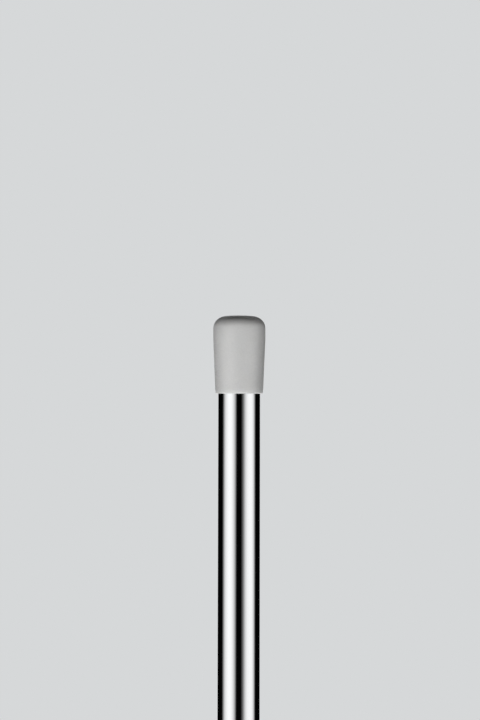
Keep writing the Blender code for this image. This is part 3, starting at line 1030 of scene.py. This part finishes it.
def pale_floor(colour, height, painted_pool_radius, painted_pool_share):
    """A pale floor that shows at its own colour and still takes the cane's shadow. Its matt colour fades to
    black away from the foot, so the edge of the pool of light there is painted.
    """
    shape = bmesh.new()
    bmesh.ops.create_circle(shape, cap_ends=True, radius=FLOOR_RADIUS, segments=128)
    mesh = bpy.data.meshes.new("studio_floor")
    shape.to_mesh(mesh)
    shape.free()
    paint = bpy.data.materials.new("Matt floor paint")
    paint.use_nodes = True
    tree = paint.node_tree
    tree.nodes.clear()
    rays = add_node(tree, "LightPath")
    place = add_node(tree, "TexCoord").outputs["Object"]
    reach = add_node(tree, "VectorMath", links={0: place}, operation="LENGTH").outputs["Value"]
    # Painted pool of light: the floor's matt colour fades to black away from the foot, so light and shadow
    # show on the floor round the foot alone, and fade out before the bounce sheet begins.
    pool = add_node(
        tree,
        "MapRange",
        {"From Min": 0.04, "From Max": painted_pool_radius, "To Min": painted_pool_share, "To Max": 0.0},
        {"Value": reach},
        interpolation_type="SMOOTHSTEP",
    )
    lit = add_node(
        tree, "Mix", {6: shaded(colour, 0.0), 7: colour}, {0: pool.outputs["Result"]}, data_type="RGBA"
    )
    matt = add_node(tree, "BsdfDiffuse", links={"Color": lit.outputs[2]})
    seen = add_node(
        tree,
        "Math",
        links={0: rays.outputs["Is Camera Ray"], 1: rays.outputs["Is Glossy Ray"]},
        operation="MAXIMUM",
    )
    base = add_node(tree, "Emission", {"Color": colour}, {"Strength": seen.outputs["Value"]})
    both = add_node(tree, "AddShader", links={0: matt.outputs["BSDF"], 1: base.outputs["Emission"]})
    add_node(tree, "OutputMaterial", links={"Surface": both.outputs["Shader"]})
    mesh.materials.append(paint)
    floor = bpy.data.objects.new("studio_floor", mesh)
    floor.location.z = height
    bpy.context.scene.collection.objects.link(floor)
    floor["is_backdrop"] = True


class CANE_OT_stage(bpy.types.Operator):
    """Sets the floor, the soft boxes, the dark flags, the surround and the camera"""

    bl_idname = "cane.stage"
    bl_label = "Stage"

    def execute(self, context):
        stage = context.scene.cane_stage
        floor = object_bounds()[0].z
        mouth = outside("tip_cap")[1]
        pale_world(stage.pale)
        pale_floor(stage.pale, floor, stage.pool, stage.painted_pool_share)
        wall = upright(stage.ring)
        # Brightness across each soft box, by its angle from the camera's side.
        left_edge = [
            (-102, 0.0),
            (-95, 0.11),
            (-87, 0.43),
            (-80, 0.69),
            (-73, 0.83),
            (-66, 0.93),
            (-58, 1.0),
            (-47, 1.0),
            (-41, 0.95),
            (-36, 0.86),
            (-30, 0.72),
            (-24, 0.49),
            (-19, 0.26),
            (-14, 0.03),
            (-11, 0.0),
        ]
        right_edge = [
            (12, 0.0),
            (19, 0.08),
            (25, 0.22),
            (30, 0.43),
            (36, 0.68),
            (42, 0.82),
            (48, 0.94),
            (60, 1.0),
            (73, 0.97),
            (80, 0.85),
            (87, 0.64),
            (95, 0.2),
            (101, 0.0),
        ]
        rear_edge = [(168, 0), (172, 1.0), (188, 1.0), (192, 0)]
        rise = [(floor, 0.4), (mouth - 0.6, 0.6), (mouth - 0.42, 1.0)]
        tall = (floor + 0.02, mouth + 0.3)
        for name, edge, strength in (
            ("left_soft_box", left_edge, stage.left_box),
            ("right_soft_box", right_edge, stage.right_box),
            ("rear_soft_box", rear_edge, stage.rear_box),
        ):

            def box_glow(degrees, height):
                return strength * between(edge, degrees) * between(rise, height)

            stage_sheet(name, wall, (edge[0][0], edge[-1][0]), tall, box_glow, ("diffuse",))
        # Broad light for the matt surfaces, from lower than the tip all round and from the floor.
        round_light = [
            (-110, 0.0),
            (-80, 0.75),
            (-50, 1.14),
            (-20, 1.06),
            (0, 1.0),
            (25, 0.93),
            (45, 0.83),
            (70, 0.3),
            (100, 0.1),
            (135, 0.2),
            (150, 1.1),
            (165, 1.7),
            (195, 1.7),
            (210, 1.1),
            (225, 0.2),
            (250, 0.0),
        ]
        band = [(floor + 0.15, 0.3), (floor + 0.4, 0.6), (floor + 0.55, 1.0)]

        def ring_glow(degrees, height):
            return stage.round_light * between(round_light, degrees) * between(band, height)

        def bounce_glow(degrees, reach):
            return stage.bounce * between(round_light, degrees)

        def top_glow(degrees, reach):
            return stage.top_light

        whole = (-110, 250)
        stage_sheet("ring_light", wall, whole, (floor + 0.15, mouth - 0.45), ring_glow, ("glossy",))
        on_floor = lying(floor + 0.002)
        stage_sheet("floor_bounce", on_floor, whole, (0.5, 2.0), bounce_glow, ("glossy",), upward=True)
        stage_sheet("faint_top_light", lying(mouth + 1.2), whole, (0.0, 0.8), top_glow, ("glossy",))
        # High behind the cane: it lights the tip's flat end and leaves the corner on the camera's side dark.
        rear_light = [(140, 0.0), (155, 1.0), (205, 1.0), (220, 0.0)]

        def rear_glow(degrees, height):
            return stage.rear_light * between(rear_light, degrees)

        high_up = (mouth + 0.64, mouth + 1.31)
        stage_sheet("upper_rear_light", wall, (140, 220), high_up, rear_glow, ("glossy",))
        # Dark felt between the soft boxes and overhead, seen in reflections alone.
        flags = upright(stage.ring * 1.1)
        for name, across in (
            ("front_flag", (-16, 16)),
            ("right_flag", (98, 170)),
            ("left_flag", (190, 262)),
        ):
            stage_sheet(name, flags, across, (floor, mouth + 0.6), None, ("diffuse",))
        roof = mouth + 2.5
        reach = stage.ring * 1.12
        stage_sheet("upper_flag", upright(reach), (0, 360), (mouth + 0.3, roof), None, ("diffuse",))
        stage_sheet("roof_flag", lying(roof), (0, 360), (0.0, reach), None, ("diffuse",))
        lens = bpy.data.cameras.new("studio_camera")
        lens.lens = stage.lens
        lens.clip_start = 0.01
        camera = bpy.data.objects.new("studio_camera", lens)
        camera.matrix_world = (
            Matrix.Translation((stage.aside, -stage.distance, stage.height))
            @ Matrix.Rotation(math.pi / 2 + stage.pitch, 4, "X")
            @ Matrix.Rotation(stage.roll, 4, "Z")
        )
        context.scene.collection.objects.link(camera)
        context.scene.camera = camera
        context.scene.view_settings.view_transform = "Standard"
        return {"FINISHED"}


class CANE_PT_panel(bpy.types.Panel):
    """Sizes, colours and operators of the cane"""

    bl_label = "Cane"
    bl_idname = "CANE_PT_panel"
    bl_space_type = "VIEW_3D"
    bl_region_type = "UI"
    bl_category = "Cane"

    def draw(self, context):
        for name, operators in PANEL_ROWS.items():
            box = self.layout.box()
            settings = getattr(context.scene, name)
            for setting in settings.__annotations__:
                box.prop(settings, setting)
            for operator in operators:
                box.operator(operator)


PANEL_ROWS = {
    "cane_tip": ("cane.nylon_tip",),
    "cane_tubes": ("cane.tubes", "cane.collars"),
    "cane_grip": ("cane.grip", "cane.butt_cap"),
    "cane_fittings": ("cane.strap_eye", "cane.fittings"),
    "cane_stage": ("cane.stage",),
}
SETTINGS = {
    "cane_tip": CaneTipSettings,
    "cane_tubes": CaneTubeSettings,
    "cane_grip": CaneGripSettings,
    "cane_fittings": CaneFittingSettings,
    "cane_stage": CaneStageSettings,
}
OPERATORS = (
    CANE_OT_nylon_tip,
    CANE_OT_tubes,
    CANE_OT_collars,
    CANE_OT_grip,
    CANE_OT_butt_cap,
    CANE_OT_strap_eye,
    CANE_OT_fittings,
    CANE_OT_stage,
)


def register():
    for settings in SETTINGS.values():
        bpy.utils.register_class(settings)
    for operator in OPERATORS:
        bpy.utils.register_class(operator)
    bpy.utils.register_class(CANE_PT_panel)
    for name, settings in SETTINGS.items():
        setattr(bpy.types.Scene, name, PointerProperty(type=settings))


def unregister():
    for name in SETTINGS:
        delattr(bpy.types.Scene, name)
    bpy.utils.unregister_class(CANE_PT_panel)
    for operator in reversed(OPERATORS):
        bpy.utils.unregister_class(operator)
    for settings in reversed(SETTINGS.values()):
        bpy.utils.unregister_class(settings)


def main():
    register()
    bpy.ops.cane.nylon_tip()
    bpy.ops.cane.tubes()
    bpy.ops.cane.collars()
    bpy.ops.cane.grip()
    bpy.ops.cane.butt_cap()
    bpy.ops.cane.strap_eye()
    bpy.ops.cane.fittings()
    bpy.ops.cane.stage()
    bpy.context.view_layer.update()


if __name__ == "__main__":
    main()
